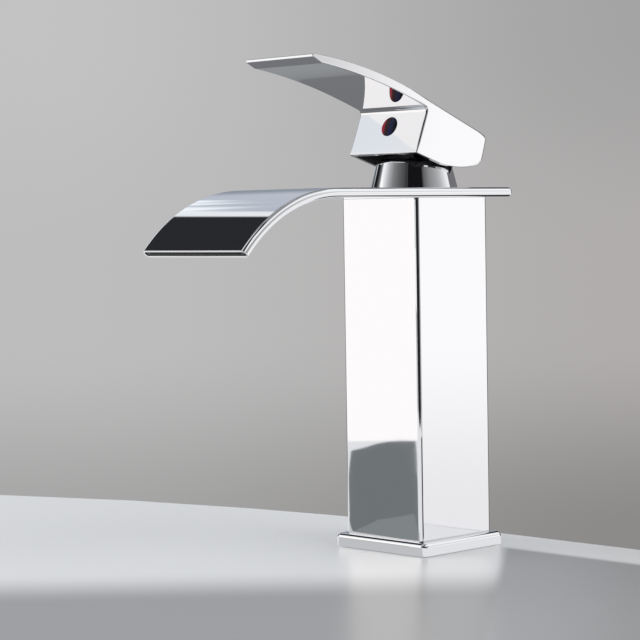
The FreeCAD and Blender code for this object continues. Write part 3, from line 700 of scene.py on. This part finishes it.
SHARP_ANGLE = math.radians(32)
FLAT_FACE_WEIGHT = 90


def finish_piece(obj, slot, body, *nodes, sharp=SHARP_ANGLE):
    """Smooths the shading, gives the material and the body, and hides the CAD nodes it stands for."""
    for polygon in obj.data.polygons:
        polygon.use_smooth = True
    obj.data.set_sharp_from_angle(angle=sharp)
    weights = obj.modifiers.new("flat_faces", "WEIGHTED_NORMAL")
    weights.keep_sharp = True
    weights.weight = FLAT_FACE_WEIGHT
    if not obj.data.materials:
        obj.data.materials.append(MATERIALS[slot])
    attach(obj, body)
    if nodes:
        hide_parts(*nodes)


# ---------------------------------------------------------------- column and flange
COLUMN_HALF = 23.0
COLUMN_EDGE_R = 1.8
COLUMN_INNER = 20.5
COLUMN_LOW = 6.2
COLUMN_TOP = 156.1
COLUMN_END_R = 0.12
FLANGE_HALF = (27.5, 26.0)
FLANGE_CORNER_R = 2.6
FLANGE_EDGE_R = 2.0
FLANGE_LOW = 0.5
FLANGE_HOLE_R = 16.9
SEAL_POCKET = (25.0, 23.5)
SEAL_TOP = 2.5
FLANGE_EDGE_STEPS = 10
# How far the hole's cutting tool reaches above and below the deck.
FLANGE_CUT = 10.0
HOLE_FACETS = 96


def rounded_square(half_x, half_y, radius, count=8):
    """Rectangular outline with round corners."""
    corners = [(half_x, half_y), (-half_x, half_y), (-half_x, -half_y), (half_x, -half_y)]
    points = []
    for number, corner in enumerate(corners):
        before = corners[number - 1]
        after = corners[(number + 1) % 4]
        points += rounded_corner(before, corner, after, radius, count)
    return points


def make_column():
    """Square tube with rounded upright edges."""
    outline = rounded_square(COLUMN_HALF, COLUMN_HALF, COLUMN_EDGE_R)
    column = prism("column", outline, COLUMN_LOW, COLUMN_TOP, axis="Z")
    add_bevel(column, COLUMN_END_R, 2)
    inner = COLUMN_INNER
    room = box("room", (-inner, -inner, COLUMN_LOW - OVERRUN), (inner, inner, COLUMN_TOP + OVERRUN))
    combine(column, room, "DIFFERENCE")
    settle(column, room)
    finish_piece(column, "chrome", "faucet_body", "body_column")


def make_flange():
    """Flange with a rounded upper edge, the seal's pocket and the hose hole."""
    half_x, half_y = FLANGE_HALF
    pocket_x, pocket_y = SEAL_POCKET
    rings = [[(x, y, FLANGE_LOW) for x, y in rounded_square(half_x, half_y, FLANGE_CORNER_R)]]
    for step in range(FLANGE_EDGE_STEPS + 1):
        turn = math.pi / 2 * step / FLANGE_EDGE_STEPS
        inset = FLANGE_EDGE_R * (1 - math.cos(turn))
        z = COLUMN_LOW - FLANGE_EDGE_R * (1 - math.sin(turn))
        outline = rounded_square(half_x - inset, half_y - inset, FLANGE_CORNER_R - inset)
        rings.append([(x, y, z) for x, y in outline])
    flange = rings_mesh("flange", rings)
    pocket = box("pocket", (-pocket_x, -pocket_y, -OVERRUN), (pocket_x, pocket_y, SEAL_TOP))
    hole = cylinder("hole", FLANGE_HOLE_R, (0, 0, -FLANGE_CUT), (0, 0, FLANGE_CUT), HOLE_FACETS)
    combine(flange, pocket, "DIFFERENCE")
    combine(flange, hole, "DIFFERENCE")
    settle(flange, pocket, hole)
    finish_piece(flange, "chrome", "faucet_body", "base_flange")


# ---------------------------------------------------------------- spout
PLATE_TOP = 160.3
PLATE_THICK = 4.2
PLATE_MIDDLE = PLATE_TOP - PLATE_THICK / 2
PLATE_HALF = 31.7
PLATE_REAR = 31.3
BEND_START = 77.7
BEND_R = 72.5
BEND = math.radians(49)
MOUTH_WALL = 0.9
CHANNEL_START = -22.0
PLATE_HOLE_R = 18.85
# How far the hole's cutting tool reaches above and below the plate's top.
PLATE_CUT = 15.0
MOUTH_EDGE_R = 0.22
# Places of the rings along the flat plate, the step to the second one, and the least half
# thickness at the rear end.
PLATE_STATIONS = (20, 0, -20, -40, -60, -77)
REAR_STEP = 0.4
THINNEST = 0.02
REAR_STEPS = 8
BEND_STEPS = 36


def plate_ring(half_width, half_thick, place, tilt, count=12):
    """Flat ring with full-round ends, standing across the spout's path."""
    y, z = place
    flat = half_width - half_thick
    ring = []
    for side in (1, -1):
        for step in range(count + 1):
            turn = side * math.pi / 2 - side * math.pi * step / count
            along = side * flat + half_thick * math.cos(turn) * side
            up = half_thick * math.sin(turn)
            ring.append((along, up))
    points = []
    for x, up in ring:
        points.append((x, y - up * math.sin(tilt), z + up * math.cos(tilt)))
    return points


def path_place(angle):
    """Middle of the plate's thickness along the bend."""
    radius = BEND_R - PLATE_THICK / 2
    y = -BEND_START - radius * math.sin(angle)
    z = PLATE_TOP - BEND_R + radius * math.cos(angle)
    return y, z


def make_spout():
    """Hollow plate with round edges all round and a bend that ends in an open mouth."""
    half = PLATE_THICK / 2
    rings = []
    rear_middle = PLATE_REAR - half
    for step in range(REAR_STEPS, 0, -1):
        turn = math.pi / 2 * step / REAR_STEPS
        thick = max(half * math.cos(turn), THINNEST)
        width = PLATE_HALF - half + thick
        rings.append(plate_ring(width, thick, (rear_middle + half * math.sin(turn), PLATE_MIDDLE), 0))
    for y in (rear_middle, rear_middle - REAR_STEP, *PLATE_STATIONS):
        rings.append(plate_ring(PLATE_HALF, half, (y, PLATE_MIDDLE), 0))
    angles = [BEND * step / BEND_STEPS for step in range(BEND_STEPS + 1)]
    for angle in angles:
        rings.append(plate_ring(PLATE_HALF, half, path_place(angle), angle))
    inner_width = PLATE_HALF - MOUTH_WALL
    inner_half = half - MOUTH_WALL
    for angle in reversed(angles):
        rings.append(plate_ring(inner_width, inner_half, path_place(angle), angle))
    rings.append(plate_ring(inner_width, inner_half, (CHANNEL_START, PLATE_MIDDLE), 0))
    spout = rings_mesh("spout_plate", rings)
    add_bevel(spout, MOUTH_EDGE_R, 3)
    low, high = PLATE_TOP - PLATE_CUT, PLATE_TOP + PLATE_CUT
    hole = cylinder("hole", PLATE_HOLE_R, (0, 0, low), (0, 0, high), HOLE_FACETS)
    combine(spout, hole, "DIFFERENCE")
    settle(spout, hole)
    finish_piece(spout, "chrome", "faucet_body", "spout")


# ---------------------------------------------------------------- dome
DOME_FOOT_R = 19.5
DOME_TOP = 173.8
DOME_TAPER = 0.25
DOME_EDGE_R = 3.0
DOME_WALL = 1.3
DOME_HOLE_R = 12.0
DOME_FOOT_EDGE_R = 0.18
DOME_HOLE_EDGE_R = 0.25
DOME_FACETS = 128
DOME_SHARP_ANGLE = math.radians(40)


def make_dome():
    """Tapered cover with a rounded rim."""
    top_r = DOME_FOOT_R - DOME_TAPER * (DOME_TOP - PLATE_TOP)
    inner_top = DOME_TOP - DOME_WALL
    foot, inner_foot = (DOME_FOOT_R, PLATE_TOP), (DOME_FOOT_R - DOME_WALL, PLATE_TOP)
    rim, hole = (top_r, DOME_TOP), (DOME_HOLE_R, DOME_TOP)
    inner_rim, inner_hole = (top_r - DOME_WALL, inner_top), (DOME_HOLE_R, inner_top)
    outline = rounded_corner(inner_foot, foot, rim, DOME_FOOT_EDGE_R, 3)
    outline += rounded_corner(foot, rim, hole, DOME_EDGE_R, 14)
    outline += rounded_corner(rim, hole, inner_hole, DOME_HOLE_EDGE_R, 3)
    outline += [inner_hole, inner_rim, inner_foot]
    dome = lathe("dome", outline, DOME_FACETS)
    finish_piece(dome, "chrome", "faucet_body", "dome_cap", sharp=DOME_SHARP_ANGLE)


# ---------------------------------------------------------------- lever
# Places in the side view, as Y and height over the pivot, are those of the shut lever.
PIVOT_Z = 154.0
REST_LIFT = math.radians(13)
LEVER_HALF = 20.5
LEVER_WALL = 2.0
LEVER_ROOF = 3.2
PADDLE_EDGE_R = 0.42
BLOCK_EDGE_R = 0.95
HEEL_EXTRA_R = 0.6
HEEL_CORNER_R = 1.7
BROW_FILLET = 2.0
SOCKET_HALF = 7.1
SOCKET_ROOM = 4.1
SOCKET_LOW = 24.0
SOCKET_REAR_TOP = 35.8
SOCKET_FRONT_TOP = 41.4
STEM_TOP = 35.6
SCREW_RISE = 33.0
SCREW_BORE_R = 2.5
SCREW_BORE_FRONT = -30.0
SCREW_BOSS_R = 4.6
SCREW_BOSS_FRONT = -15.2
TOOL_FACETS = 48
SKIRT_WALL = 1.2
SKIRT_CORNER_R = 0.5
SKIRT_FRONT = (-24.5, 16.6)
SKIRT_LOW = (-8.0, 15.5)
SKIRT_MIDDLE = (5.0, 17.0)
SKIRT_REAR = (16.9, 20.9)
HEEL_LOW = (18.6, 22.9)
HEEL_MIDDLE = (19.4, 28.6)
CROWN_REAR = (19.6, 34.65)
CROWN_CORNER_R = 2.8
CROWN_FRONT = (-22.7, 41.1)
PADDLE_TOP = (-56.4, 44.2)
PADDLE_TIP_TOP = (-93.7, 41.7)
PADDLE_TIP_LOW = (-93.4, 40.55)
PADDLE_CHAMFER = (-88.3, 39.3)
PADDLE_UNDER = (-55.5, 40.3)
BROW = (-21.3, 37.3)
# Where the rounding of the side edges grows: heights over the skirt, then Y on block and heel.
SKIRT_BLEND = (17, 21)
BLOCK_BLEND = (-34, -22)
HEEL_BLEND = (14.5, 17.5)
SIDE_EDGE_STEPS = 8
# Spacing of points on straight stretches, and the bound on how far a sharp corner moves inwards.
LONG_SPACING = 2.0
FRONT_SPACING = 1.5
LEAST_SPREAD = 0.7
INDEX_R = 4.5
INDEX_DEPTH = 1.6
INDEX_CLEARANCE = 0.05
INDEX_FACETS = 64
INDEX_ALONG_FACE = 0.62


def raised(point):
    """From the shut side view round the pivot to the raised lever in the shared frame."""
    y, z = point
    sin_lift, cos_lift = math.sin(REST_LIFT), math.cos(REST_LIFT)
    return y * cos_lift + z * sin_lift, PIVOT_Z - y * sin_lift + z * cos_lift


def part_way(value, low, high):
    """Goes straight from 0 at low to 1 at high."""
    return min(max((value - low) / (high - low), 0), 1)


def side_rounding(point):
    """Radius of the lever's side edge, which is larger on the block and at the heel."""
    y, z = point
    on_block = (BLOCK_EDGE_R - PADDLE_EDGE_R) * part_way(y, *BLOCK_BLEND)
    at_heel = HEEL_EXTRA_R * part_way(y, *HEEL_BLEND)
    return PADDLE_EDGE_R + part_way(z, *SKIRT_BLEND) * (on_block + at_heel)


def stretch(start, end, spacing):
    """Points along a straight line, ends left out."""
    start, end = Vector(start), Vector(end)
    count = max(int((end - start).length / spacing), 1)
    return [tuple(start.lerp(end, number / count)) for number in range(1, count)]


def lever_outline():
    """Side view of the shut lever, anticlockwise from the foot of its front."""
    outline = rounded_corner(BROW, SKIRT_FRONT, SKIRT_LOW, SKIRT_CORNER_R, 4)
    skirt = arc_through(SKIRT_LOW, SKIRT_MIDDLE, SKIRT_REAR, 16)
    outline += skirt
    outline += rounded_corner(skirt[-1], SKIRT_REAR, HEEL_LOW, HEEL_CORNER_R, 6)
    outline += rounded_corner(SKIRT_REAR, HEEL_LOW, HEEL_MIDDLE, HEEL_CORNER_R, 4)
    outline += stretch(outline[-1], HEEL_MIDDLE, LONG_SPACING)
    outline += rounded_corner(HEEL_MIDDLE, CROWN_REAR, CROWN_FRONT, CROWN_CORNER_R, 10)
    outline += stretch(outline[-1], CROWN_FRONT, LONG_SPACING)
    top = arc_through(CROWN_FRONT, PADDLE_TOP, PADDLE_TIP_TOP, 40)
    outline += top
    outline += rounded_corner(top[-1], PADDLE_TIP_TOP, PADDLE_TIP_LOW, PADDLE_EDGE_R, 4)
    outline += rounded_corner(PADDLE_TIP_TOP, PADDLE_TIP_LOW, PADDLE_CHAMFER, PADDLE_EDGE_R, 4)
    under = arc_through(PADDLE_CHAMFER, PADDLE_UNDER, BROW, 40)
    under = [point for point in under if BROW[0] - point[0] > 2 * BROW_FILLET]
    outline += under
    outline += rounded_corner(under[-1], BROW, SKIRT_FRONT, BROW_FILLET, 10)
    outline += stretch(outline[-1], SKIRT_FRONT, FRONT_SPACING)
    return outline


def inset_point(outline, number, inset):
    """Point of an anticlockwise outline moved inwards."""
    before, here = Vector(outline[number - 1]), Vector(outline[number])
    after = Vector(outline[(number + 1) % len(outline)])
    first, second = (here - before).normalized(), (after - here).normalized()
    inward = Vector((-first.y - second.y, first.x + second.x)).normalized()
    spread = max(inward.dot(Vector((-first.y, first.x))), LEAST_SPREAD)
    return tuple(here + inward * inset / spread)


def lever_solid():
    """Lever without its hollow, with side edges whose rounding changes along the outline."""
    outline = lever_outline()
    rings = []
    for step in range(SIDE_EDGE_STEPS + 1):
        turn = math.pi / 2 * step / SIDE_EDGE_STEPS
        ring = []
        for number, point in enumerate(outline):
            radius = side_rounding(point)
            x = LEVER_HALF - radius * (1 - math.cos(turn))
            y, z = raised(inset_point(outline, number, radius * (1 - math.sin(turn))))
            ring.append((x, y, z))
        rings.append(ring)
    mirrored = [[(-x, y, z) for x, y, z in ring] for ring in reversed(rings)]
    return rings_mesh("lever", rings + mirrored)


def hollow_tool():
    """What is cut from the lever's inside; its mouth is at the skirt."""
    inner = LEVER_HALF - LEVER_WALL
    outline = [
        (SKIRT_FRONT[0] + SKIRT_WALL, SKIRT_FRONT[1] - OVERRUN),
        (BROW[0] + LEVER_WALL, CROWN_FRONT[1] - LEVER_ROOF - LEVER_WALL),
        (CROWN_REAR[0] - LEVER_WALL, CROWN_REAR[1] - LEVER_ROOF),
        (SKIRT_REAR[0] - LEVER_WALL, SKIRT_FRONT[1] - OVERRUN),
    ]
    return prism("hollow", [raised(point) for point in outline], -inner, inner)


def socket_tool():
    """Post for the stem under the roof, which slopes down to the rear."""
    low = PIVOT_Z + SOCKET_LOW
    outline = [
        (-SOCKET_HALF, low), (SOCKET_HALF, low),
        (SOCKET_HALF, PIVOT_Z + SOCKET_REAR_TOP), (-SOCKET_HALF, PIVOT_Z + SOCKET_FRONT_TOP),
    ]
    return prism("socket", outline, -SOCKET_HALF, SOCKET_HALF)


def make_lever():
    """Hollow lever with an arched paddle, the stem's socket and the screw's boss."""
    lever = lever_solid()
    lever.data.materials.append(MATERIALS["chrome"])
    lever.data.materials.append(MATERIALS["cast_inside"])
    half, screw_z = SOCKET_ROOM, PIVOT_Z + SCREW_RISE
    room = box("room", (-half, -half, PIVOT_Z), (half, half, PIVOT_Z + STEM_TOP))
    screw_end = (0, 0, screw_z)
    boss = cylinder("boss", SCREW_BOSS_R, (0, SCREW_BOSS_FRONT, screw_z), screw_end, TOOL_FACETS)
    bore = cylinder("bore", SCREW_BORE_R, (0, SCREW_BORE_FRONT, screw_z), screw_end, TOOL_FACETS)
    rough_steps = [
        (hollow_tool(), "DIFFERENCE"), (socket_tool(), "UNION"), (boss, "UNION"),
        (room, "DIFFERENCE"), (bore, "DIFFERENCE"),
    ]
    for tool, _ in rough_steps:
        for polygon in tool.data.polygons:
            polygon.material_index = 1
    middle, outward = index_place()
    low, high = middle - outward * INDEX_DEPTH, middle + outward * OVERRUN
    recess = cylinder("recess", INDEX_R + INDEX_CLEARANCE, low, high, INDEX_FACETS)
    steps = rough_steps + [(recess, "DIFFERENCE")]
    for tool, operation in steps:
        combine(lever, tool, operation)
    settle(lever, *(tool for tool, _ in steps))
    finish_piece(lever, "chrome", "lever", "lever_handle")


def index_place():
    """Middle and outward direction of the index plug."""
    low, high = Vector((0, *raised(SKIRT_FRONT))), Vector((0, *raised(BROW)))
    middle = low.lerp(high, INDEX_ALONG_FACE)
    outward = Vector((1, 0, 0)).cross(high - low).normalized()
    if outward.y > 0:
        outward = -outward
    return middle, outward


bpy.context.scene.view_settings.view_transform = "Standard"
make_camera()
make_world()
make_deck()
make_cards()
make_lamps()
dress_cad()
make_column()
make_flange()
make_spout()
make_dome()
make_lever()
